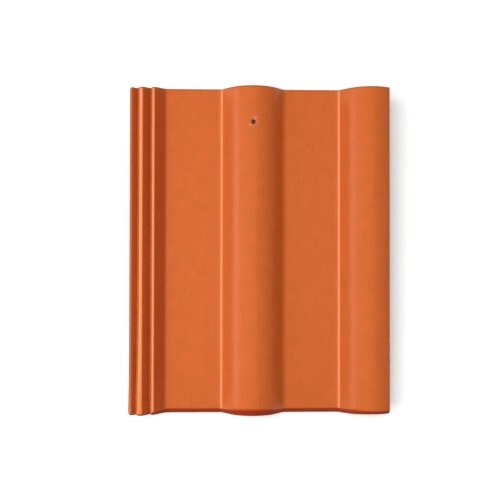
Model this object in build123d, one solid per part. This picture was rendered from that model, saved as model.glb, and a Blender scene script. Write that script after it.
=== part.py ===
from build123d import *
import math
import os

# Interlocking roof tile with two rolls and two flat pans, extruded as one piece.
# The tile is drawn level, then laid down as it rests on its nibs and foot ribs.
# X runs across the tile, from the underlock on the left to the overlock on the
# right, +Y points up the roof to the head, and +Z is the weathered face.
# In the drawing X starts at the left edge and Z starts at the pan's top face.

# Overall sizes
tile_length = 414.0
cover_width = 300.0
side_lap = 30.0
body_thickness = 12.0

# Rolls: straight flanks under a round crown
roll_width = 79.3
roll_rise = 26.0
roll_flank_angle = 50.0
left_foot_radius = 4.0
right_foot_radius = 9.0

# Underlock: three ribs, two channels and a slope that the next tile covers
underlock_width = 47.25
outer_rib_height = 9.8
outer_rib_crest = 1.6
outer_flank_angle = 66.0
outer_flank_run = 3.2
middle_rib_height = 12.8
middle_rib_start = 10.6
middle_rib_crest = 2.2
inner_rib_height = 13.0
inner_rib_start = 26.8
inner_rib_crest = 2.4
rib_face_angle = 58.0
rib_back_angle = 64.0
outer_channel_floor = 6.0
inner_channel_floor = 6.4
rib_radius = 1.4
rib_back_radius = 1.0
outer_crest_radius = 0.7
channel_radius = 0.9
underlock_underside = -4.0

# Overlock: the right edge, which hooks over the next tile's underlock
lock_clearance = 2.0
hollow_ceiling = 11.2
hollow_radius = 11.0

# Rounded nose along the foot
nose_reach = 8.0
nose_drop = 5.5
nose_under_rise = 2.5
nose_stations = 7

# Nail hole in the crown of the main roll
nail_hole_diameter = 5.6
nail_hole_from_head = 46.0
nail_rim_chamfer = 0.8

# Hanging nibs under the pans
nib_width = 36.0
nib_depth = 18.0
nib_length = 15.0
nib_from_head = 7.0
nib_draft = 8.0
nib_radius = 2.0

# Ribs across the underside of the foot
foot_rib_count = 3
foot_rib_height = 7.0
foot_rib_width = 6.0
foot_rib_pitch = 13.0
foot_rib_from_foot = 12.0

# Places worked out from the sizes above
tile_width = cover_width + side_lap
roll_pitch = cover_width / 2
flank_slope = math.tan(math.radians(roll_flank_angle))
half_roll = roll_width / 2
apex_height = half_roll * flank_slope
flank_secant = 1 / math.cos(math.radians(roll_flank_angle))
crown_radius = (apex_height - roll_rise) / (flank_secant - 1)
inner_crown_radius = crown_radius - body_thickness
pan_underside = -body_thickness
main_roll_centre = underlock_width + roll_pitch - half_roll
lap_roll_centre = main_roll_centre + roll_pitch
root_depth = body_thickness / 2

# Room that a construction outline takes past the tile's faces and edges
cut_depth = 80.0
side_margin = 20.0


def across(angle, rise):
    """Horizontal run of a slope that climbs by rise."""
    return rise / math.tan(math.radians(angle))


def underlock_points():
    """Corners of the underlock, from the outer edge to the inner rib."""
    outer_left = (outer_flank_run, outer_rib_height)
    outer_right = (outer_flank_run + outer_rib_crest, outer_rib_height)
    outer_foot_x = outer_right[0] + across(rib_back_angle, outer_rib_height - outer_channel_floor)
    middle_x = middle_rib_start + across(rib_face_angle, middle_rib_height - outer_channel_floor)
    middle_right = (middle_x + middle_rib_crest, middle_rib_height)
    middle_foot_x = middle_right[0] + across(rib_back_angle, middle_rib_height - inner_channel_floor)
    inner_x = inner_rib_start + across(rib_face_angle, inner_rib_height - inner_channel_floor)
    start_x = outer_flank_run - across(outer_flank_angle, outer_rib_height - pan_underside)
    return [
        (start_x, pan_underside),
        outer_left,
        outer_right,
        (outer_foot_x, outer_channel_floor),
        (middle_rib_start, outer_channel_floor),
        (middle_x, middle_rib_height),
        middle_right,
        (middle_foot_x, inner_channel_floor),
        (inner_rib_start, inner_channel_floor),
        (inner_x, inner_rib_height),
        (inner_x + inner_rib_crest, inner_rib_height),
    ]


def underlock_radii():
    """Rounding of each underlock corner after the first."""
    outer_crest = [outer_crest_radius, outer_crest_radius]
    channel = [channel_radius, channel_radius]
    crest = [rib_radius, rib_back_radius]
    return outer_crest + channel + crest + channel + crest


def top_line():
    """Corners and radii of the weathered face, which runs past the right edge."""
    points = underlock_points()
    radii = underlock_radii()
    points.append((underlock_width, 0))
    radii.append(right_foot_radius)
    for centre in (main_roll_centre, lap_roll_centre):
        points.append((centre - half_roll, 0))
        points.append((centre, apex_height))
        points.append((centre + half_roll, 0))
        radii.extend([left_foot_radius, crown_radius, right_foot_radius])
    points.append((max(tile_width, lap_roll_centre + half_roll) + side_margin, 0))
    return points, radii


def under_line():
    """Corners and radii of the underside, left of the overlock's grooves."""
    underlock_slope = inner_rib_height / (underlock_width - underlock_points()[-1][0])
    slope_angle = math.degrees(math.atan(underlock_slope))
    shift = body_thickness / math.sin(math.radians(slope_angle))
    step_top = underlock_width - shift - across(slope_angle, underlock_underside)
    step_foot = underlock_width - shift - across(slope_angle, pan_underside)
    inner_half = half_roll + across(roll_flank_angle, body_thickness)
    inner_half -= body_thickness / math.sin(math.radians(roll_flank_angle))
    inner_apex = pan_underside + inner_half * flank_slope
    ceiling_start = lap_roll_centre - inner_half + across(roll_flank_angle, hollow_ceiling - pan_underside)
    ceiling_end = cover_width + outer_flank_run + outer_rib_crest / 2
    half_ceiling = (ceiling_end - ceiling_start) / 2
    bend_limit = half_ceiling / math.tan(math.radians(roll_flank_angle / 2))
    points = [
        (-side_margin, underlock_underside),
        (step_top, underlock_underside),
        (step_foot, pan_underside),
        (main_roll_centre - inner_half, pan_underside),
        (main_roll_centre, inner_apex),
        (main_roll_centre + inner_half, pan_underside),
        (lap_roll_centre - inner_half, pan_underside),
        (ceiling_start, hollow_ceiling),
        (ceiling_end, hollow_ceiling),
        (ceiling_end, pan_underside),
        (tile_width + side_margin, pan_underside),
    ]
    bend = left_foot_radius
    ceiling_bend = min(hollow_radius, bend_limit)
    radii = [bend, bend, bend, inner_crown_radius, bend, bend, ceiling_bend, 0, 0]
    return points, radii


def region(points, radii, level, lift, y):
    """Face between a rounded line, lifted by lift, and a straight line at level."""
    lifted = [(x, z + lift) for x, z in points]
    first = lifted[0]
    last = lifted[-1]
    outline = FilletPolyline(*lifted, radius=radii)
    outline += Polyline(last, (last[0], level), (first[0], level), first)
    return Plane.XZ.offset(-y) * make_face(outline)


def nose_offset(depth, share):
    """How far the rounded nose has moved a face at a share of its reach."""
    return depth * (1 - math.sqrt(1 - share * share))


def with_nose(line, level, depth):
    """Solid on one side of a rounded line, with the nose's curve at the foot."""
    points, radii = line
    straight = tile_length - nose_reach
    head = region(points, radii, level, 0, tile_length)
    body = extrude(head, straight, dir=(0, -1, 0))
    sections = []
    for index in range(nose_stations + 1):
        share = math.sin(math.radians(90 * index / nose_stations))
        lift = nose_offset(depth, share)
        sections.append(region(points, radii, level, lift, nose_reach * (1 - share)))
    return body + loft(sections, ruled=True)


def body_block():
    """Extruded body between the weathered face and the underside."""
    top = with_nose(top_line(), -cut_depth, -nose_drop)
    under = with_nose(under_line(), cut_depth, nose_under_rise)
    width = Pos(tile_width / 2, tile_length / 2, 0) * Box(tile_width, tile_length, 2 * cut_depth)
    return top & under & width


def overlock_grooves():
    """Room under the right edge for the next tile's underlock, plus clearance."""
    points = underlock_points()
    points.append((underlock_width, 0))
    radii = underlock_radii()
    shifted = [(x + cover_width, z) for x, z in points]
    face = region(shifted, radii, -cut_depth, lock_clearance, tile_length)
    return extrude(face, tile_length, dir=(0, -1, 0))


def foot_ribs():
    """Ribs across the foot, shaped to sit on the top face of the course below."""
    points, radii = top_line()
    left = underlock_width - left_foot_radius
    right = cover_width - lock_clearance
    lower = region(points, radii, cut_depth, pan_underside - foot_rib_height, 0)
    upper = region(points, radii, -cut_depth, pan_underside + root_depth, 0)
    trim = Plane.XZ * Pos((left + right) / 2, 0) * Rectangle(right - left, 2 * cut_depth)
    face = lower & upper & trim
    ribs = []
    for index in range(foot_rib_count):
        start = foot_rib_from_foot + index * foot_rib_pitch
        ribs.append(Pos(0, start, 0) * extrude(face, foot_rib_width, dir=(0, 1, 0)))
    return ribs


def nib(centre):
    """Tapered lug under a pan, with a square face towards the batten."""
    root = pan_underside + root_depth
    tip = pan_underside - nib_depth
    lean = (root - tip) * math.tan(math.radians(nib_draft))
    back = tile_length - nib_from_head
    front = back - nib_length
    side = Polyline((front, root), (back, root), (back - lean, tip), (front, tip), close=True)
    face = make_face(Plane.YZ * side)
    blank = Pos(centre - nib_width / 2, 0, 0) * extrude(face, nib_width, dir=(1, 0, 0))
    corners = blank.edges().filter_by(Axis.X).sort_by(Axis.Z)[:2]
    return fillet(corners, nib_radius)


def nail_hole():
    """Hole through the main roll's crown, with its worn rim."""
    crown = Pos(main_roll_centre, tile_length - nail_hole_from_head, roll_rise)
    bore = crown * Cylinder(nail_hole_diameter / 2, cut_depth)
    rim_radius = nail_hole_diameter / 2 + 2 * nail_rim_chamfer
    return bore + crown * Cone(nail_hole_diameter / 2, rim_radius, 2 * nail_rim_chamfer)


def laid_down(tile):
    """Turn the level tile onto its nibs and foot ribs, centred over the floor."""
    run = tile_length - nib_from_head - nib_length + nib_radius - foot_rib_from_foot
    drop = nib_depth - nib_radius - foot_rib_height
    tilt = math.atan2(drop, run) + math.asin(nib_radius / math.hypot(run, drop))
    turned = Rot(math.degrees(tilt), 0, 0) * tile
    box = turned.bounding_box()
    return Pos(-box.center().X, -box.center().Y, -box.min.Z) * turned


def roof_tile():
    """The whole tile as one solid."""
    tile = body_block() - overlock_grooves()
    for rib in foot_ribs():
        tile += rib
    for centre in (main_roll_centre - roll_pitch / 2, main_roll_centre + roll_pitch / 2):
        tile += nib(centre)
    tile -= nail_hole()
    return laid_down(tile)


os.makedirs("parts", exist_ok=True)
export_step(roof_tile().solid(), "parts/roof_tile.step")
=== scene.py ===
import math

import bmesh
import bpy
from mathutils import Matrix, Vector, geometry, noise


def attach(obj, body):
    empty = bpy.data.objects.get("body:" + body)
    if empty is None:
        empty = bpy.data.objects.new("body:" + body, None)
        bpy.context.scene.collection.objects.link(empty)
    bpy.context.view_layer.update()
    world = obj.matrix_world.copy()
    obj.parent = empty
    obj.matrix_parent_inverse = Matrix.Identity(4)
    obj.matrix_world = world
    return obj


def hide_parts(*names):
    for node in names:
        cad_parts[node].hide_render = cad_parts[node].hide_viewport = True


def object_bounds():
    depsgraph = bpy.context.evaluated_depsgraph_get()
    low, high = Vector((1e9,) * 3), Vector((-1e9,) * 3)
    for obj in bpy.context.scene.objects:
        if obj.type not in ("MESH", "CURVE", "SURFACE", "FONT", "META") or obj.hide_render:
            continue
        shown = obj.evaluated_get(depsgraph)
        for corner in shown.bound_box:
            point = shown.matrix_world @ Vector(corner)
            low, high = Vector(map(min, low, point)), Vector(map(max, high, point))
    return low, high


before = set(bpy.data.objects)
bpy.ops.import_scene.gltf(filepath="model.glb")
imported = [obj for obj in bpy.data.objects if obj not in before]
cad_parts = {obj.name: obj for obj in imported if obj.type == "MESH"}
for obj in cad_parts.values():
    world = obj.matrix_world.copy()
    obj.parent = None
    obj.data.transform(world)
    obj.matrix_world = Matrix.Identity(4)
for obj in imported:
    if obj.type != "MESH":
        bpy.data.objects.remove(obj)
cad_low, cad_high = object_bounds()

# Tile body: one long strip of sand and cement mortar, extruded over a pallet that
# shapes its underside while a roller and a slipper shape the top, then cut to length.
# Sizes are in millimetres, in the level tile: X across, Y up to the head, Z at the pan.
TILE_LENGTH = 414.0
COVER_WIDTH = 300.0
SIDE_LAP = 30.0
THICKNESS = 12.0
ROLL_WIDTH = 79.3
ROLL_RISE = 26.0
ROLL_FLANK_ANGLE = 50.0
LEFT_FOOT_RADIUS = 4.0
RIGHT_FOOT_RADIUS = 9.0
UNDERLOCK_WIDTH = 47.25
OUTER_RIB_HEIGHT = 9.8
OUTER_RIB_CREST = 1.6
OUTER_FLANK_ANGLE = 66.0
OUTER_FLANK_RUN = 3.2
MIDDLE_RIB_START = 11.6
INNER_RIB_START = 27.8
RIB_FACE_ANGLE = 70.0
RIB_BACK_ANGLE = 43.0
OUTER_CHANNEL_FLOOR = 4.4
INNER_CHANNEL_FLOOR = 4.8
MIDDLE_RIB_RADIUS = 3.5
INNER_RIB_RADIUS = 2.5
OUTER_CREST_RADIUS = 0.7
CHANNEL_RADIUS = 0.9
UNDERLOCK_UNDERSIDE = -4.0
LOCK_CLEARANCE = 2.0
HOLLOW_CEILING = 11.2
HOLLOW_RADIUS = 11.0
NOSE_REACH = 6.8
NOSE_DROP = 7.0
NOSE_UNDER_RISE = 2.5
NOSE_BEND = 0.35
UNDERLOCK_NOSE = 0.35
LAP_ROLL_NOSE = 0.5
CROWN_REACH = 1.6
HEAD_EASE_REACH = 2.6
HEAD_EASE_DROP = 1.6

# Small roundings and the unevenness that pressing and cutting leave
LEFT_EDGE_ROUND = 1.3
RIGHT_EDGE_ROUND = 2.0
POINT_SPACING = 4.0
ARC_STEP = 8.0
LENGTH_STATIONS = 160
WELD = 0.01
PAN_FOOT_SHORT = 0.9
LAP_FOOT_SHORT = 3.0
FOOT_BLEND = 70.0
EDGE_INSET = 0.9
FLARE_LENGTH = 90.0
RIB_SPREAD = 2.0
RIB_SPREAD_LENGTH = 190.0
CORNER_ROUND = 2.2
UNEVENNESS = 0.5
UNEVENNESS_LENGTH = 55.0

tile_width = COVER_WIDTH + SIDE_LAP
roll_pitch = COVER_WIDTH / 2
half_roll = ROLL_WIDTH / 2
flank = math.radians(ROLL_FLANK_ANGLE)
apex_height = half_roll * math.tan(flank)
crown_radius = (apex_height - ROLL_RISE) / (1 / math.cos(flank) - 1)
main_roll = UNDERLOCK_WIDTH + roll_pitch - half_roll
lap_roll = main_roll + roll_pitch
pan_underside = -THICKNESS


def across(angle, rise):
    """Horizontal run of a slope that climbs by rise."""
    return rise / math.tan(math.radians(angle))


def rounded(corners, radii):
    """Points of a line through corners, with an arc in place of each inner corner."""
    path = [Vector(corners[0])]
    for before, corner, after, radius in zip(corners, corners[1:], corners[2:], radii):
        corner = Vector(corner)
        back = (Vector(before) - corner).normalized()
        ahead = (Vector(after) - corner).normalized()
        turn = math.pi - back.angle(ahead)
        reach = radius * math.tan(turn / 2)
        centre = corner + (back + ahead).normalized() * radius / math.cos(turn / 2)
        start = corner + back * reach - centre
        spin = start.angle_signed(corner + ahead * reach - centre) if radius else 0
        steps = max(1, math.ceil(turn / math.radians(ARC_STEP))) if radius else 0
        for step in range(steps + 1):
            path.append(centre + Matrix.Rotation(-spin * step / max(1, steps), 2) @ start)
    path.append(Vector(corners[-1]))
    return path


def height(line, x):
    """Height of a line of points, from left to right, at x."""
    for left, right in zip(line, line[1:]):
        if left.x <= x <= right.x and right.x > left.x:
            return left.y + (right.y - left.y) * (x - left.x) / (right.x - left.x)
    return line[0].y if x < line[0].x else line[-1].y


def stretch(line, left, right):
    """The part of a line from left to right, with its long runs divided."""
    inner = [p for p in line if left < p.x < right]
    points = [Vector((left, height(line, left))), *inner, Vector((right, height(line, right)))]
    divided = [points[0]]
    for before, after in zip(points, points[1:]):
        pieces = max(1, round((after - before).length / POINT_SPACING))
        divided += [before.lerp(after, piece / pieces) for piece in range(1, pieces + 1)]
    return divided


def soft_corner(start, corner, end, steps=5):
    """A rounded corner from start to end, without its two end points."""
    shares = [step / steps for step in range(1, steps)]
    return [start.lerp(corner, s).lerp(corner.lerp(end, s), s) for s in shares]


def ridge(left_foot, right_foot):
    """Corner where a rib's steep face from its left foot meets the slope down to the next foot."""
    rise, fall = math.tan(math.radians(RIB_FACE_ANGLE)), math.tan(math.radians(RIB_BACK_ANGLE))
    x = (right_foot[1] - left_foot[1] + rise * left_foot[0] + fall * right_foot[0]) / (rise + fall)
    return x, left_foot[1] + rise * (x - left_foot[0])


outer_right = OUTER_FLANK_RUN + OUTER_RIB_CREST
outer_channel = (MIDDLE_RIB_START, OUTER_CHANNEL_FLOOR)
inner_channel = (INNER_RIB_START, INNER_CHANNEL_FLOOR)
slope_foot = (UNDERLOCK_WIDTH, 0)
middle_ridge = ridge(outer_channel, inner_channel)
underlock = [
    (OUTER_FLANK_RUN - across(OUTER_FLANK_ANGLE, OUTER_RIB_HEIGHT - pan_underside), pan_underside),
    (OUTER_FLANK_RUN, OUTER_RIB_HEIGHT),
    (outer_right, OUTER_RIB_HEIGHT),
    outer_channel,
    middle_ridge,
    inner_channel,
    ridge(inner_channel, slope_foot),
    slope_foot,
]
underlock_bends = [
    OUTER_CREST_RADIUS, OUTER_CREST_RADIUS, CHANNEL_RADIUS,
    MIDDLE_RIB_RADIUS, CHANNEL_RADIUS, INNER_RIB_RADIUS]
weathered_corners = list(underlock)
weathered_bends = underlock_bends + [RIGHT_FOOT_RADIUS]
for centre in (main_roll, lap_roll):
    weathered_corners += [(centre - half_roll, 0), (centre, apex_height), (centre + half_roll, 0)]
    weathered_bends += [LEFT_FOOT_RADIUS, crown_radius, RIGHT_FOOT_RADIUS]
weathered_corners.append((lap_roll + half_roll + SIDE_LAP, 0))
weathered_face = rounded(weathered_corners, weathered_bends)

underlock_slope = math.radians(RIB_BACK_ANGLE)
slope_shift = UNDERLOCK_WIDTH - THICKNESS / math.sin(underlock_slope)
inner_half = half_roll + across(ROLL_FLANK_ANGLE, THICKNESS) - THICKNESS / math.sin(flank)
ceiling_start = lap_roll - inner_half + across(ROLL_FLANK_ANGLE, HOLLOW_CEILING - pan_underside)
ceiling_end = COVER_WIDTH + OUTER_FLANK_RUN + OUTER_RIB_CREST / 2
pallet_corners = [
    (0, UNDERLOCK_UNDERSIDE),
    (slope_shift - UNDERLOCK_UNDERSIDE / math.tan(underlock_slope), UNDERLOCK_UNDERSIDE),
    (slope_shift - pan_underside / math.tan(underlock_slope), pan_underside),
    (main_roll - inner_half, pan_underside),
    (main_roll, pan_underside + inner_half * math.tan(flank)),
    (main_roll + inner_half, pan_underside),
    (lap_roll - inner_half, pan_underside),
    (ceiling_start, HOLLOW_CEILING),
    (ceiling_end, HOLLOW_CEILING),
]
pallet_bends = [
    *[LEFT_FOOT_RADIUS] * 3, crown_radius - THICKNESS, *[LEFT_FOOT_RADIUS] * 2, HOLLOW_RADIUS]
pallet_face = rounded(pallet_corners, pallet_bends)
lock_corners = [(x + COVER_WIDTH, z + LOCK_CLEARANCE) for x, z in underlock]
lock_face = rounded(lock_corners, underlock_bends)
underside = stretch(pallet_face, 0, ceiling_end) + stretch(lock_face, ceiling_end, tile_width)[1:]

left_top, left_bottom = height(weathered_face, 0), height(underside, 0)
right_top, right_bottom = height(weathered_face, tile_width), height(underside, tile_width)
top_run = stretch(weathered_face, LEFT_EDGE_ROUND, tile_width - RIGHT_EDGE_ROUND)
under_run = stretch(underside, LEFT_EDGE_ROUND, tile_width - LEFT_EDGE_ROUND)
right_edge = [
    Vector((tile_width, right_top - RIGHT_EDGE_ROUND)),
    Vector((tile_width, right_bottom + LEFT_EDGE_ROUND))]
left_edge = [Vector((0, left_bottom + LEFT_EDGE_ROUND)), Vector((0, left_top - LEFT_EDGE_ROUND))]
section = [
    *top_run,
    *soft_corner(top_run[-1], Vector((tile_width, right_top)), right_edge[0]),
    *right_edge,
    *soft_corner(right_edge[1], Vector((tile_width, right_bottom)), under_run[-1]),
    *reversed(under_run),
    *soft_corner(under_run[0], Vector((0, left_bottom)), left_edge[0]),
    *left_edge,
    *soft_corner(left_edge[1], Vector((0, left_top)), top_run[0]),
]


def smooth_step(start, end, x):
    """0 before start, 1 after end, and an even bend between them."""
    share = min(1, max(0, (x - start) / (end - start)))
    return share * share * (3 - 2 * share)


def section_mesh(name, points, values, closed=True, filled=False):
    """A line of points as a mesh for a sweep, with named values, or filled to close its ends."""
    spots = [Vector((p.x, -p.y)) for p in points]
    edges = [(i, (i + 1) % len(points)) for i in range(len(points) if closed else len(points) - 1)]
    faces = geometry.delaunay_2d_cdt(spots, edges, [], 1, 0)[2] if filled else []
    mesh = bpy.data.meshes.new(name)
    mesh.from_pydata([spot.to_3d() for spot in spots], edges, faces)
    for key, numbers in values.items():
        mesh.attributes.new(key, "FLOAT", "POINT").data.foreach_set("value", numbers)
    piece = bpy.data.objects.new(name, mesh)
    bpy.context.scene.collection.objects.link(piece)
    return piece


def upper_share(point):
    """1 on the weathered face, 0 on the underside, and between them on an edge."""
    low, high = height(underside, point.x), height(weathered_face, point.x)
    return min(1, max(0, (point.y - low) / (high - low)))


def foot_line(point):
    """How far short of the tile's longest point the foot ends."""
    pans = PAN_FOOT_SHORT * smooth_step(middle_ridge[0], UNDERLOCK_WIDTH, point.x)
    lap = (LAP_FOOT_SHORT - PAN_FOOT_SHORT) * smooth_step(lap_roll - half_roll, lap_roll, point.x)
    near = max(0, CORNER_ROUND - min(point.x, tile_width - point.x))
    corner = CORNER_ROUND - math.sqrt(CORNER_ROUND ** 2 - near ** 2)
    return pans + lap + corner


def nose_size(point):
    """Size of the nose: small on the underlock, full on the pans, smaller on the lap roll."""
    size = UNDERLOCK_NOSE + (1 - UNDERLOCK_NOSE) * smooth_step(middle_ridge[0], UNDERLOCK_WIDTH, point.x)
    return size - (1 - LAP_ROLL_NOSE) * smooth_step(lap_roll - half_roll, lap_roll, point.x)


def nose_reach(point):
    """How far the nose reaches up the tile, which is more on a roll than on a pan."""
    rise = (CROWN_REACH - 1) * height(weathered_face, point.x) / ROLL_RISE
    return NOSE_REACH * nose_size(point) * (1 + (rise if point.x > UNDERLOCK_WIDTH else 0))


def spread(point):
    """How far the middle rib's face is pushed out at the foot."""
    rise = smooth_step(MIDDLE_RIB_START - RIB_SPREAD, MIDDLE_RIB_START, point.x)
    return -RIB_SPREAD * rise * (1 - smooth_step(MIDDLE_RIB_START, middle_ridge[0] + RIB_SPREAD, point.x))


def add(tree, kind, inputs=(), out=0, **settings):
    """Adds a node with its settings, sets or links its inputs, and returns an output."""
    made = tree.nodes.new(kind)
    for key, value in settings.items():
        setattr(made, key, value)
    for key, value in inputs.items() if isinstance(inputs, dict) else enumerate(inputs):
        if isinstance(value, bpy.types.NodeSocket):
            tree.links.new(value, made.inputs[key])
        elif value is not None:
            made.inputs[key].default_value = value
    return made.outputs[out] if made.outputs else made


def linear(code):
    """Linear colour of an sRGB hex code."""
    channels = [int(code[i:i + 2], 16) / 255 for i in (0, 2, 4)]
    return (*[c / 12.92 if c <= 0.04045 else ((c + 0.055) / 1.055) ** 2.4 for c in channels], 1)


def material_tree(name):
    """A new material with its tree, its shader and the object's own coordinates."""
    material = bpy.data.materials.new(name)
    material.use_nodes = True
    tree = material.node_tree
    tree.nodes.clear()
    shader = tree.nodes.new("ShaderNodeBsdfPrincipled")
    add(tree, "ShaderNodeOutputMaterial", [shader.outputs[0]])
    return material, tree, shader, add(tree, "ShaderNodeTexCoord", out="Object")


# A mix node takes its share at input 0, its numbers at 2 and 3, and its colours at 6 and 7.
MATH, RANGE, MIX, NOISE = "ShaderNodeMath", "ShaderNodeMapRange", "ShaderNodeMix", "ShaderNodeTexNoise"
PER_METRE = 1000

# Pigmented mortar, bare: dull and sandy, with paler sand grains and small pressing pores, which the bump
# sinks and painted shade darkens.
# Real sand is 0.5 to 2 mm, and is drawn at 2.2 mm because finer grains don't show.
MORTAR_COLOUR = "9A5F45"
MORTAR_PALE = "B5866A"
MORTAR_PIT_SHADE = "6B4434"
MORTAR_ROUGHNESS = 0.88
SAND_SIZE = 2.2
SAND_BLEND = (0.3, 0.7)
PORE_SIZE = 3.4
PORE_EDGE = (0.26, 0.34)
PORE_DEPTH = -1.5
MORTAR_RELIEF = 0.0004
MORTAR_RELIEF_STRENGTH = 0.5

concrete, tree, shader, place = material_tree("pigmented_mortar")
sand = add(tree, NOISE, {"Vector": place, "Scale": PER_METRE / SAND_SIZE, "Detail": 3.0})
pores = add(tree, NOISE, {"Vector": place, "Scale": PER_METRE / PORE_SIZE, "Detail": 1.0})
grains = add(tree, RANGE, [sand, *SAND_BLEND])
sandy = add(tree, MIX, {
    0: grains, 6: linear(MORTAR_COLOUR), 7: linear(MORTAR_PALE)}, out=2, data_type="RGBA")
pits = add(tree, RANGE, [pores, *PORE_EDGE, 1.0, 0.0])
# Painted shade in the pores: their colour is darkened where the bump sinks them.
pit_shaded = add(tree, MIX, {0: pits, 6: sandy, 7: linear(MORTAR_PIT_SHADE)}, out=2, data_type="RGBA")
relief = add(tree, MATH, [pits, PORE_DEPTH, sand], operation="MULTIPLY_ADD")
rough = add(tree, "ShaderNodeBump", {
    "Strength": MORTAR_RELIEF_STRENGTH, "Distance": MORTAR_RELIEF, "Height": relief})
tree.links.new(pit_shaded, shader.inputs["Base Color"])
tree.links.new(rough, shader.inputs["Normal"])
shader.inputs["Roughness"].default_value = MORTAR_ROUGHNESS

# Acrylic coat on the mortar: an even satin terracotta, faintly mottled and drawn out along the
# tile, with the sand's tooth under it. Painted shade makes it darker and rougher on the nose, in the
# creases and on the channels' right-facing sides, and a painted highlight makes it paler and smoother
# on the bends that face the left light. It thins on the edges, where the mortar shows.
# The mottle is 13 mm wide, the streaks of the slipper are 4 mm, and the tooth is drawn as the sand is.
COAT_PALE = "B65D28"
COAT_DEEP = "B05A24"
# The next colour is painted shade, for the nose, creases and channels.
COAT_PAINTED_SHADE = "8E2D00"
# The next colour is a painted highlight, for bends that face the left light.
COAT_PAINTED_HIGHLIGHT = "CA7E50"
COAT_ROUGHNESS = 0.30
ROUGHNESS_SPREAD = 0.03
PAINTED_HIGHLIGHT_ROUGHNESS = 0.2
PAINTED_SHADE_ROUGHNESS = 0.85
COAT_GLOSS = 0.4
MOTTLE_SIZE = 13.0
MOTTLE_BLEND = (0.45, 0.9)
STREAK_SIZE = 4.0
STREAK_STRETCH = 14.0
STREAK_SHARE = 0.35
STREAK_BLEND = (0.3, 0.7)
TOOTH_SIZE = 2.4
MOTTLE_RELIEF_SHARE = 1.5
COAT_RELIEF = 0.0002
COAT_RELIEF_STRENGTH = 0.3
RAGGED_SIZE = 2 * SAND_SIZE
COVER_BLEND = (0.65, 1.0)
WORN_EDGE = (0.6, 1.0)
WORN_PATCHES = (0.52, 0.75)

coating, tree, shader, place = material_tree("terracotta_acrylic_coat")
drawn_out = add(tree, "ShaderNodeMapping", {"Vector": place, "Scale": (1, 1 / STREAK_STRETCH, 1)})
mottle = add(tree, NOISE, {"Vector": place, "Scale": PER_METRE / MOTTLE_SIZE, "Detail": 3.0})
streaks = add(tree, NOISE, {"Vector": drawn_out, "Scale": PER_METRE / STREAK_SIZE, "Detail": 1.0})
tooth = add(tree, NOISE, {"Vector": place, "Scale": PER_METRE / TOOTH_SIZE, "Detail": 2.0})
shade = add(tree, MATH, [streaks, STREAK_SHARE, mottle], operation="MULTIPLY_ADD")
shade = add(tree, RANGE, [shade, *MOTTLE_BLEND])
coat = add(tree, MIX, {0: shade, 6: linear(COAT_DEEP), 7: linear(COAT_PALE)}, out=2, data_type="RGBA")
# Painted shade darkens the coat on the nose, in creases and on the channels' right-facing sides.
painted_shade = add(tree, "ShaderNodeAttribute", out="Fac", attribute_name="painted_shade")
coat = add(tree, MIX, {0: painted_shade, 6: coat, 7: linear(COAT_PAINTED_SHADE)}, out=2, data_type="RGBA")
# Painted highlight makes the coat paler on bends that face the left light.
painted_highlight = add(tree, "ShaderNodeAttribute", out="Fac", attribute_name="painted_highlight")
coat = add(tree, MIX, {0: painted_highlight, 6: coat, 7: linear(COAT_PAINTED_HIGHLIGHT)}, out=2, data_type="RGBA")
sprayed = add(tree, "ShaderNodeAttribute", out="Fac", attribute_name="coat")
crisp = add(tree, "ShaderNodeAttribute", out="Fac", attribute_name="crisp")
ragged = add(tree, NOISE, {"Vector": place, "Scale": PER_METRE / RAGGED_SIZE, "Detail": 3.0})
thin = add(tree, MATH, [sprayed, ragged], operation="ADD")
thin = add(tree, RANGE, [thin, *COVER_BLEND])
patches = add(tree, RANGE, [ragged, *WORN_PATCHES])
worn = add(tree, RANGE, [crisp, *WORN_EDGE, 0.0, patches])
covered = add(tree, MATH, [thin, worn], operation="SUBTRACT", use_clamp=True)
colour = add(tree, MIX, {0: covered, 6: linear(MORTAR_COLOUR), 7: coat}, out=2, data_type="RGBA")
gloss = add(tree, RANGE, [
    streaks, *STREAK_BLEND, COAT_ROUGHNESS - ROUGHNESS_SPREAD, COAT_ROUGHNESS + ROUGHNESS_SPREAD])
gloss = add(tree, MIX, {0: painted_highlight, 2: gloss, 3: PAINTED_HIGHLIGHT_ROUGHNESS})
gloss = add(tree, MIX, {0: painted_shade, 2: gloss, 3: PAINTED_SHADE_ROUGHNESS})
gloss = add(tree, MIX, {0: covered, 2: MORTAR_ROUGHNESS, 3: gloss})
relief = add(tree, MATH, [mottle, MOTTLE_RELIEF_SHARE, tooth], operation="MULTIPLY_ADD")
rough = add(tree, "ShaderNodeBump", {
    "Strength": COAT_RELIEF_STRENGTH, "Distance": COAT_RELIEF, "Height": relief})
tree.links.new(colour, shader.inputs["Base Color"])
tree.links.new(gloss, shader.inputs["Roughness"])
tree.links.new(rough, shader.inputs["Normal"])
shader.inputs["Specular IOR Level"].default_value = COAT_GLOSS


def shape_tree(name, sizes):
    """An empty Geometry Nodes tree with a geometry input and a named input for each size."""
    tree = bpy.data.node_groups.new(name, "GeometryNodeTree")
    tree.interface.new_socket("Geometry", in_out="OUTPUT", socket_type="NodeSocketGeometry")
    tree.interface.new_socket("Geometry", in_out="INPUT", socket_type="NodeSocketGeometry")
    for key, kind in sizes.items():
        tree.interface.new_socket(key, in_out="INPUT", socket_type=kind)
    return tree, tree.nodes.new("NodeGroupInput").outputs


def settle(piece, modifier):
    """Gives a piece the mesh that its modifier makes, and removes the modifier."""
    mesh = bpy.data.meshes.new_from_object(piece.evaluated_get(bpy.context.evaluated_depsgraph_get()))
    for index in reversed(range(len(mesh.materials))):
        if mesh.materials[index] is None:
            mesh.materials.pop(index=index)
    piece.modifiers.remove(modifier)
    piece.data = mesh


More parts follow.
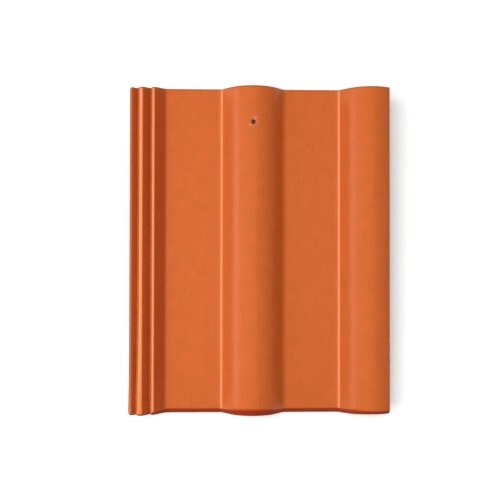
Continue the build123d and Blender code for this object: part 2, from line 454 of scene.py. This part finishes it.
def baked(piece, tree, values):
    """Runs a shape tree on a piece with its inputs set, and keeps the mesh."""
    modifier = piece.modifiers.new("shape", "NODES")
    modifier.node_group = tree
    for item in tree.interface.items_tree:
        if item.in_out == "INPUT" and item.name in values:
            modifier[item.identifier] = values[item.name]
    settle(piece, modifier)


NUMBER, COUNT, STUFF = "NodeSocketFloat", "NodeSocketInt", "NodeSocketMaterial"
UNDERSIDE_LEAN = -0.15
HEAD_CUT_LEAN = 0.9

body, size = shape_tree("extruded_tile_body", {
    "Length": NUMBER, "Stations": COUNT, "Nose Drop": NUMBER, "Nose Rise": NUMBER,
    "Nose Bend": NUMBER, "Ease Reach": NUMBER, "Ease Drop": NUMBER,
    "Foot Blend": NUMBER, "Spread Length": NUMBER, "Inset Length": NUMBER, "Edge Inset": NUMBER,
    "Unevenness": NUMBER, "Unevenness Scale": NUMBER, "Coating": STUFF, "Concrete": STUFF})
rim = add(body, "GeometryNodeInputMeshEdgeNeighbors")
rim = add(body, "FunctionNodeCompare", {2: rim, 3: 1}, data_type="INT", operation="EQUAL")
profile = add(body, "GeometryNodeMeshToCurve", {"Mesh": size["Geometry"], "Selection": rim})
straight = add(body, "GeometryNodeCurvePrimitiveLine", {"End": (0, 1, 0)})
stations = add(body, "GeometryNodeResampleCurve", {"Curve": straight, "Count": size["Stations"]})
share = add(body, "GeometryNodeSplineParameter", out="Factor")
run = add(body, RANGE, {"Value": share, "To Max": size["Length"]}, interpolation_type="SMOOTHSTEP")
path = add(body, "GeometryNodeSetPosition", {
    "Geometry": stations, "Position": add(body, "ShaderNodeCombineXYZ", {"Y": run})})
strip = add(body, "GeometryNodeCurveToMesh", {"Curve": path, "Profile Curve": profile})
upright = (math.radians(-90), 0, 0)
foot_end = add(body, "GeometryNodeTransform", {"Geometry": size["Geometry"], "Rotation": upright})
foot_end = add(body, "GeometryNodeFlipFaces", [foot_end])
head_end = add(body, "GeometryNodeTransform", {
    "Geometry": size["Geometry"], "Rotation": upright,
    "Translation": add(body, "ShaderNodeCombineXYZ", {"Y": size["Length"]})})
strip = add(body, "GeometryNodeJoinGeometry", [strip])
for end in (foot_end, head_end):
    body.links.new(end, strip.node.inputs[0])
strip = add(body, "GeometryNodeMergeByDistance", {"Geometry": strip, "Distance": WELD})
position = add(body, "GeometryNodeInputPosition")
along = add(body, "ShaderNodeSeparateXYZ", [position], out="Y")
upper_face, foot_short, rib_push, outer_edge, nose_part, nose_length = [
    add(body, "GeometryNodeInputNamedAttribute", {"Name": name}, data_type="FLOAT")
    for name in ("upper", "foot", "spread", "outer", "nose", "reach")]


def fading(reach):
    """1 at the foot, falling to 0 at a distance up the tile."""
    left = add(body, RANGE, {"Value": along, "From Max": reach, "To Min": 1.0, "To Max": 0.0})
    return add(body, MATH, [left, left], operation="MULTIPLY")


nose_share = add(body, RANGE, {
    "Value": along, "From Max": nose_length, "To Min": 1.0, "To Max": 0.0})
bend = add(body, MATH, [size["Nose Bend"], size["Nose Bend"]], operation="MULTIPLY")
fall = add(body, MATH, [nose_share, nose_share, bend], operation="MULTIPLY_ADD")
fall = add(body, MATH, [fall], operation="SQRT")
full_fall = add(body, MATH, [bend, 1.0], operation="ADD")
full_fall = add(body, MATH, [full_fall], operation="SQRT")
fall = add(body, RANGE, {"Value": fall, "From Min": size["Nose Bend"], "From Max": full_fall})
fall = add(body, MATH, [fall, nose_part], operation="MULTIPLY")
drop = add(body, MATH, [size["Nose Drop"], -1.0], operation="MULTIPLY")
lift = add(body, RANGE, {"Value": upper_face, "To Min": size["Nose Rise"], "To Max": drop})
lift = add(body, MATH, [lift, fall], operation="MULTIPLY")
ease_start = add(body, MATH, [size["Length"], size["Ease Reach"]], operation="SUBTRACT")
head_share = add(body, RANGE, {"Value": along, "From Min": ease_start, "From Max": size["Length"]})
eased = add(body, MATH, [head_share, head_share], operation="MULTIPLY")
eased = add(body, MATH, [eased, upper_face], operation="MULTIPLY")
ease_drop = add(body, MATH, [size["Ease Drop"], -1.0], operation="MULTIPLY")
lift = add(body, MATH, [eased, ease_drop, lift], operation="MULTIPLY_ADD")
foot = add(body, MATH, [foot_short, fading(size["Foot Blend"])], operation="MULTIPLY")
pushed = add(body, MATH, [rib_push, fading(size["Spread Length"])], operation="MULTIPLY")
inset = add(body, MATH, [1.0, fading(size["Inset Length"])], operation="SUBTRACT")
inset = add(body, MATH, [inset, size["Edge Inset"]], operation="MULTIPLY")
sideways = add(body, MATH, [inset, outer_edge, pushed], operation="MULTIPLY_ADD")
# The waves only sink the surface, so that the tile stays inside its own outline
waves = add(body, NOISE, {"Vector": position, "Scale": size["Unevenness Scale"], "Detail": 2.0})
waves = add(body, MATH, [waves, 1.0], operation="SUBTRACT")
upward = add(body, MATH, [waves, size["Unevenness"], lift], operation="MULTIPLY_ADD")
shift = add(body, "ShaderNodeCombineXYZ", [sideways, foot, upward])
pressed = add(body, "GeometryNodeSetPosition", {"Geometry": strip, "Offset": shift})
normal = add(body, "GeometryNodeInputNormal")
below = add(body, "ShaderNodeSeparateXYZ", [normal], out="Z")
below = add(body, MATH, [below, UNDERSIDE_LEAN], operation="LESS_THAN")
cut_face = add(body, "ShaderNodeSeparateXYZ", [normal], out="Y")
cut_face = add(body, MATH, [cut_face, HEAD_CUT_LEAN], operation="GREATER_THAN")
bare = add(body, MATH, [below, cut_face], operation="MAXIMUM")
pressed = add(body, "GeometryNodeRealizeInstances", [pressed])
coated = add(body, "GeometryNodeSetMaterial", {"Geometry": pressed, "Material": size["Coating"]})
finished = add(body, "GeometryNodeSetMaterial", {
    "Geometry": coated, "Selection": bare, "Material": size["Concrete"]})
add(body, "NodeGroupOutput", [finished])

tile = section_mesh("roof_tile_body", section, {
    "upper": [upper_share(p) for p in section],
    "foot": [foot_line(p) for p in section],
    "spread": [spread(p) for p in section],
    "nose": [nose_size(p) for p in section],
    "reach": [nose_reach(p) for p in section],
    "outer": [1 - smooth_step(0, outer_right, p.x) for p in section]}, filled=True)
tile.data.materials.append(coating)
baked(tile, body, {
    "Length": TILE_LENGTH, "Stations": LENGTH_STATIONS, "Nose Drop": NOSE_DROP,
    "Nose Rise": NOSE_UNDER_RISE, "Nose Bend": NOSE_BEND, "Ease Reach": HEAD_EASE_REACH,
    "Ease Drop": HEAD_EASE_DROP, "Foot Blend": FOOT_BLEND, "Spread Length": RIB_SPREAD_LENGTH,
    "Inset Length": FLARE_LENGTH, "Edge Inset": EDGE_INSET, "Unevenness": UNEVENNESS,
    "Unevenness Scale": 1 / UNEVENNESS_LENGTH, "Coating": coating, "Concrete": concrete})


# Foot ribs: three low ribs of the same mortar, pressed with the body across its foot.
# They follow the rolls, because they seal against the top of the course below.
FOOT_RIB_COUNT = 3
FOOT_RIB_HEIGHT = 7.0
FOOT_RIB_WIDTH = 6.0
FOOT_RIB_PITCH = 13.0
FOOT_RIB_FROM_FOOT = 12.0
FOOT_RIB_ROUND = 1.0
ROOT_DEPTH = THICKNESS / 2

rib_left, rib_right = UNDERLOCK_WIDTH - LEFT_FOOT_RADIUS, COVER_WIDTH - LOCK_CLEARANCE
rib_run = stretch(weathered_face, rib_left, rib_right)
rib_top, rib_tip = pan_underside + ROOT_DEPTH, pan_underside - FOOT_RIB_HEIGHT
rib_outline = rounded(
    [(0, rib_top), (0, rib_tip), (FOOT_RIB_WIDTH, rib_tip), (FOOT_RIB_WIDTH, rib_top)],
    [FOOT_RIB_ROUND, FOOT_RIB_ROUND])

row, size = shape_tree("ribs_in_a_row", {
    "Outline": "NodeSocketObject", "Count": COUNT, "Pitch": NUMBER, "First": NUMBER, "Concrete": STUFF})
run = add(row, "GeometryNodeMeshToCurve", [size["Geometry"]])
level = add(row, "ShaderNodeSeparateXYZ", [add(row, "GeometryNodeInputPosition")], out="X")
level = add(row, "ShaderNodeCombineXYZ", {"X": level})
run = add(row, "GeometryNodeSetPosition", {"Geometry": run, "Position": level})
outline = add(row, "GeometryNodeObjectInfo", {"Object": size["Outline"]}, out="Geometry")
outline = add(row, "GeometryNodeMeshToCurve", [outline])
bar = add(row, "GeometryNodeCurveToMesh", {"Curve": run, "Profile Curve": outline, "Fill Caps": True})
rise = add(row, "GeometryNodeInputNamedAttribute", {"Name": "height"}, data_type="FLOAT")
bar = add(row, "GeometryNodeSetPosition", {
    "Geometry": bar, "Offset": add(row, "ShaderNodeCombineXYZ", {"Z": rise})})
first = add(row, "ShaderNodeCombineXYZ", {"Y": size["First"]})
pitch = add(row, "ShaderNodeCombineXYZ", {"Y": size["Pitch"]})
places = add(row, "GeometryNodeMeshLine", {
    "Count": size["Count"], "Start Location": first, "Offset": pitch})
ribs = add(row, "GeometryNodeInstanceOnPoints", {"Points": places, "Instance": bar})
ribs = add(row, "GeometryNodeRealizeInstances", [ribs])
ribs = add(row, "GeometryNodeSetMaterial", {"Geometry": ribs, "Material": size["Concrete"]})
add(row, "NodeGroupOutput", [ribs])

rib_profile = section_mesh("foot_rib_outline", [Vector((-p.x, p.y)) for p in rib_outline], {})
foot_ribs = section_mesh("foot_ribs", rib_run, {"height": [p.y for p in rib_run]}, closed=False)
baked(foot_ribs, row, {
    "Outline": rib_profile, "Count": FOOT_RIB_COUNT, "Pitch": FOOT_RIB_PITCH, "First": FOOT_RIB_FROM_FOOT,
    "Concrete": concrete})
bpy.data.objects.remove(rib_profile)


def combine(piece, other, operation):
    """Joins another closed piece to this one, or cuts it out, and deletes the other."""
    modifier = piece.modifiers.new("combine", "BOOLEAN")
    modifier.operation = operation
    modifier.solver = "MANIFOLD"
    modifier.material_mode = "TRANSFER"
    modifier.object = other
    settle(piece, modifier)
    bpy.data.objects.remove(other)


combine(tile, foot_ribs, "UNION")


# Hanging nibs: two lugs under the pans at the head, moulded with the body.
# Their square faces hook over the upper edge of a roof batten.
NIB_WIDTH = 36.0
NIB_DEPTH = 18.0
NIB_LENGTH = 15.0
NIB_FROM_HEAD = 7.0
NIB_DRAFT = 8.0
NIB_RADIUS = 2.0
NIB_SIDE_ROUND = 0.8
NIB_SHARP_TURN = 1.0
ROUND_STEPS = 4
SIDE_STEPS = 2

nib_back = TILE_LENGTH - NIB_FROM_HEAD
nib_front = nib_back - NIB_LENGTH
nib_tip = pan_underside - NIB_DEPTH
nib_lean = (ROOT_DEPTH + NIB_DEPTH) * math.tan(math.radians(NIB_DRAFT))
nib_side = [
    (nib_front, rib_top), (nib_back, rib_top), (nib_back - nib_lean, nib_tip), (nib_front, nib_tip)]


def mortar_piece(name, shape):
    """A piece of bare mortar with a finished shape."""
    mesh = bpy.data.meshes.new(name)
    shape.to_mesh(mesh)
    shape.free()
    mesh.materials.append(concrete)
    piece = bpy.data.objects.new(name, mesh)
    bpy.context.scene.collection.objects.link(piece)
    return piece


def nib(name, centre):
    """A lug with a rounded tip and softened sides."""
    shape = bmesh.new()
    side = shape.faces.new([shape.verts.new((centre - NIB_WIDTH / 2, y, z)) for y, z in nib_side])
    moved = bmesh.ops.extrude_face_region(shape, geom=[side])["geom"]
    corners = [v for v in moved if isinstance(v, bmesh.types.BMVert)]
    bmesh.ops.translate(shape, vec=(NIB_WIDTH, 0, 0), verts=corners)
    bmesh.ops.recalc_face_normals(shape, faces=shape.faces)
    low = [e for e in shape.edges if all(v.co.z == nib_tip for v in e.verts)]
    tips = [e for e in low if e.verts[0].co.y == e.verts[1].co.y]
    bmesh.ops.bevel(
        shape, geom=tips, offset=NIB_RADIUS, offset_type="WIDTH", segments=ROUND_STEPS, profile=0.5,
        affect="EDGES")
    sharp = [e for e in shape.edges if e.calc_face_angle(0) > NIB_SHARP_TURN]
    rims = [e for e in sharp if min(v.co.z for v in e.verts) < rib_top]
    bmesh.ops.bevel(
        shape, geom=rims, offset=NIB_SIDE_ROUND, segments=SIDE_STEPS, profile=0.5, affect="EDGES")
    return mortar_piece(name, shape)


for name, side in (("left_nib", -1), ("right_nib", 1)):
    combine(tile, nib(name, main_roll + side * roll_pitch / 2), "UNION")


# Nail hole: punched down through the main roll's crown while the mortar is green.
# The punch tears the skin, so the hole has a shallow spalled rim and a rough way out.
HOLE_RADIUS = 2.8
HOLE_FROM_HEAD = 46.0
SPALL_RADIUS = 4.1
SPALL_DEPTH = 1.3
SPALL_OFFSET = Vector((0.6, 1.5))
BREAKOUT_RADIUS = 4.6
BREAKOUT_DEPTH = 1.5
HOLE_SIDES = 36
HOLE_SEED = 4.0
TEAR_SCALE = 1.7
TEAR_DEPTH = 0.9

# Height, radius and raggedness of each ring of the punched hole, from above to below
punch_rings = [
    (ROLL_RISE + SPALL_RADIUS, SPALL_RADIUS + 1, 1),
    (ROLL_RISE, SPALL_RADIUS, 1),
    (ROLL_RISE - SPALL_DEPTH / 2, (SPALL_RADIUS + HOLE_RADIUS) / 2, 0.6),
    (ROLL_RISE - SPALL_DEPTH, HOLE_RADIUS, 0.15),
    (ROLL_RISE - THICKNESS / 2, HOLE_RADIUS, 0.1),
    (ROLL_RISE - THICKNESS + BREAKOUT_DEPTH, HOLE_RADIUS, 0.15),
    (ROLL_RISE - THICKNESS, BREAKOUT_RADIUS, 1),
    (ROLL_RISE - THICKNESS - SPALL_RADIUS, BREAKOUT_RADIUS + 1, 1),
]


def punch(name):
    """The ragged plug that the nail hole is cut with."""
    shape = bmesh.new()
    rings = []
    for z, radius, raggedness in punch_rings:
        ring = []
        for side in range(HOLE_SIDES):
            turn = math.tau * side / HOLE_SIDES
            around = Vector((math.cos(turn), math.sin(turn)))
            grain = Vector((around.x, around.y, z / THICKNESS)) * TEAR_SCALE
            tear = noise.noise(grain + Vector((HOLE_SEED, 0, 0)))
            spot = around * (radius + TEAR_DEPTH * raggedness * tear)
            if z > ROLL_RISE - THICKNESS / 2:
                spot += SPALL_OFFSET * raggedness * max(0, around.dot(SPALL_OFFSET.normalized()))
            ring.append(shape.verts.new((main_roll + spot.x, TILE_LENGTH - HOLE_FROM_HEAD + spot.y, z)))
        rings.append(ring)
    for upper_ring, lower_ring in zip(rings, rings[1:]):
        for side in range(HOLE_SIDES):
            after = (side + 1) % HOLE_SIDES
            shape.faces.new((upper_ring[side], lower_ring[side], lower_ring[after], upper_ring[after]))
    shape.faces.new(rings[0])
    shape.faces.new(reversed(rings[-1]))
    bmesh.ops.recalc_face_normals(shape, faces=shape.faces)
    return mortar_piece(name, shape)


combine(tile, punch("nail_punch"), "DIFFERENCE")


# Laying down: the tile lies on its foot ribs and nib tips, so its head is the higher end.
# The level shape is turned about X and set against the CAD solid's box, in metres.
SHARP_EDGE = 38.0
CRISP_TURN = 0.7
SHORTEST_EDGE = 0.05

# Where the coat lies, and where painted shade and a painted highlight go on it, as spans of how far a face
# turns or leans, from none to all of it
SPRAYED_LEAN = (0.25, 0.62)
SPRAY_FROM_FOOT = 0.8
SPRAY_SHORT_OF_HEAD = 1.2
# Painted shade spans: creases, the channels' right-facing sides and the foot-facing nose.
CREASE_SHADE_TURN = (0.5, 1)
CREASE_SHADE_LEAN = (-0.3, 0.3)
CHANNEL_SHADE_LEAN = (0.3, 0.65)
CHANNEL_SHADE = 0.42
NOSE_SHADE_LEAN = (0.05, 0.6)
# Painted highlight spans: bends that face the left strip light.
HIGHLIGHT_TURN = (0.12, 0.35)
TOO_CRISP_FOR_HIGHLIGHT = (0.7, 1)
HIGHLIGHT_LEAN = (-0.5, 0)

rest_run = nib_front + NIB_RADIUS - FOOT_RIB_FROM_FOOT
rest_drop = NIB_DEPTH - NIB_RADIUS - FOOT_RIB_HEIGHT
tilt = math.atan2(rest_drop, rest_run) + math.asin(NIB_RADIUS / math.hypot(rest_run, rest_drop))
turn_down = Matrix.Rotation(tilt, 4, "X")
head_corner = turn_down @ Vector((tile_width / 2, TILE_LENGTH, pan_underside))
foot_rib_tip = turn_down @ Vector((tile_width / 2, FOOT_RIB_FROM_FOOT, rib_tip))
laid = Matrix.Translation((0, cad_high.y, 0)) @ Matrix.Scale(0.001, 4)
laid = laid @ Matrix.Translation((-tile_width / 2, -head_corner.y, -foot_rib_tip.z)) @ turn_down


def sharpest_turn(vertex, way, lengthwise=True):
    """How sharply a face turns outward (way 1) or inward (way -1): 0 when flat, 1 when crisp."""
    steps = [edge.other_vert(vertex).co - vertex.co for edge in vertex.link_edges]
    steps = [step for step in steps if step.length > SHORTEST_EDGE]
    steps = [step for step in steps if lengthwise or abs(step.y) < step.length / 2]
    turns = [-2 * way * step.dot(vertex.normal) / step.length_squared for step in steps]
    return min(1, max(0, max(turns, default=0) / CRISP_TURN))


def coat_share(normal):
    """Coat that the spray leaves: 1 on top and on the nose, 0 on steep sides, underside and head."""
    lean = normal.z - SPRAY_FROM_FOOT * min(0, normal.y) - SPRAY_SHORT_OF_HEAD * max(0, normal.y)
    return smooth_step(*SPRAYED_LEAN, lean)


shape = bmesh.new()
shape.from_mesh(tile.data)
shape.normal_update()
coat_marks = {"crisp": [], "coat": [], "painted_shade": [], "painted_highlight": []}
for vertex in shape.verts:
    rightward, headward = vertex.normal.x, vertex.normal.y
    hollow = sharpest_turn(vertex, -1, lengthwise=False)
    turn = max(sharpest_turn(vertex, 1, lengthwise=False), hollow)
    # Painted shade: creases, the channels' right-facing sides and the foot-facing nose, which face away
    # from the lights.
    crease_shade = smooth_step(*CREASE_SHADE_TURN, hollow) * smooth_step(*CREASE_SHADE_LEAN, rightward)
    channel_shade = CHANNEL_SHADE * smooth_step(*CHANNEL_SHADE_LEAN, rightward) * (vertex.co.x < UNDERLOCK_WIDTH)
    painted_shade = max(crease_shade, channel_shade, smooth_step(*NOSE_SHADE_LEAN, -headward))
    # Painted highlight: bends that face the left strip light.
    bend = smooth_step(*HIGHLIGHT_TURN, turn) - smooth_step(*TOO_CRISP_FOR_HIGHLIGHT, turn)
    painted_highlight = max(0, bend - painted_shade) * smooth_step(*HIGHLIGHT_LEAN, -rightward)
    coat_marks["crisp"].append(sharpest_turn(vertex, 1))
    coat_marks["coat"].append(coat_share(vertex.normal))
    coat_marks["painted_shade"].append(painted_shade)
    coat_marks["painted_highlight"].append(painted_highlight)
shape.free()
for key, shares in coat_marks.items():
    tile.data.attributes.new(key, "FLOAT", "POINT").data.foreach_set("value", shares)
tile.data.transform(laid)
tile.data.shade_smooth()
tile.data.set_sharp_from_angle(angle=math.radians(SHARP_EDGE))

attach(tile, "root")
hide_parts("roof_tile")


# Studio: a wide pale floor, a large softbox overhead that leans to the left, and a low strip
# on the left that draws the light line along each rib and roll. No light comes from the right.
# The softbox is polarised, as on a copy stand, so it leaves no glare on the satin coat.
FLOOR_COLOUR = "F4F4F3"
FLOOR_SIZE = 6.0
AMBIENT = 0.36
KEY_LEAN = 17.0
KEY_WIDTH = 2.1
KEY_LENGTH = 1.2
KEY_DISTANCE = 1.6
KEY_POWER = 39.0
STRIP_LEAN = 66.0
STRIP_WIDTH = 0.6
STRIP_LENGTH = 1.2
STRIP_DISTANCE = 1.5
STRIP_POWER = 5.4
VIEW_GAMMA = 0.89

edge = FLOOR_SIZE / 2
floor_corners = [(-edge, -edge, 0), (edge, -edge, 0), (edge, edge, 0), (-edge, edge, 0)]
mesh = bpy.data.meshes.new("studio_floor")
mesh.from_pydata(floor_corners, [], [(0, 1, 2, 3)])
floor = bpy.data.objects.new("studio_floor", mesh)
bpy.context.scene.collection.objects.link(floor)
paper, tree, shader, place = material_tree("matte_white_paper")
shader.inputs["Base Color"].default_value = linear(FLOOR_COLOUR)
shader.inputs["Roughness"].default_value = 1.0
shader.inputs["Specular IOR Level"].default_value = 0.0
mesh.materials.append(paper)

world = bpy.data.worlds.new("studio_room")
bpy.context.scene.world = world
world.use_nodes = True
room = world.node_tree.nodes["Background"]
room.inputs["Color"].default_value = (1, 1, 1, 1)
room.inputs["Strength"].default_value = AMBIENT


def softbox(name, lean, distance, width, length, power, glare):
    """A rectangular light that leans to the left over the tile and points at its middle."""
    light = bpy.data.lights.new(name, "AREA")
    light.shape = "RECTANGLE"
    light.size, light.size_y, light.energy = width, length, power
    lamp = bpy.data.objects.new(name, light)
    lamp.matrix_world = Matrix.Rotation(-math.radians(lean), 4, "Y") @ Matrix.Translation((0, 0, distance))
    lamp.visible_glossy = glare
    bpy.context.scene.collection.objects.link(lamp)


softbox("key_softbox", KEY_LEAN, KEY_DISTANCE, KEY_WIDTH, KEY_LENGTH, KEY_POWER, False)
softbox("left_strip", STRIP_LEAN, STRIP_DISTANCE, STRIP_WIDTH, STRIP_LENGTH, STRIP_POWER, True)

# Camera: held above the tile and square to it, a metre over the pans.
# Its place and turns are those of the view that shows the tile's outline as the photograph does.
CAMERA_PLACE = (126.4, 193.75, 1000.0)
CAMERA_YAW = 1.587
CAMERA_PITCH = -0.839
CAMERA_ROLL = -0.093
CAMERA_LENS = 56.46
SENSOR_WIDTH = 36.0

lens = bpy.data.cameras.new("overhead_camera")
lens.lens, lens.sensor_width = CAMERA_LENS, SENSOR_WIDTH
camera = bpy.data.objects.new("overhead_camera", lens)
bpy.context.scene.collection.objects.link(camera)
aim = Matrix.Rotation(-math.radians(CAMERA_YAW), 4, "Y")
aim = aim @ Matrix.Rotation(-math.radians(CAMERA_PITCH), 4, "X")
aim = aim @ Matrix.Rotation(-math.radians(CAMERA_ROLL), 4, "Z")
camera.matrix_world = Matrix.Translation(laid @ Vector(CAMERA_PLACE)) @ turn_down @ aim
bpy.context.scene.camera = camera
bpy.context.scene.view_settings.view_transform = "Standard"
bpy.context.scene.view_settings.gamma = VIEW_GAMMA
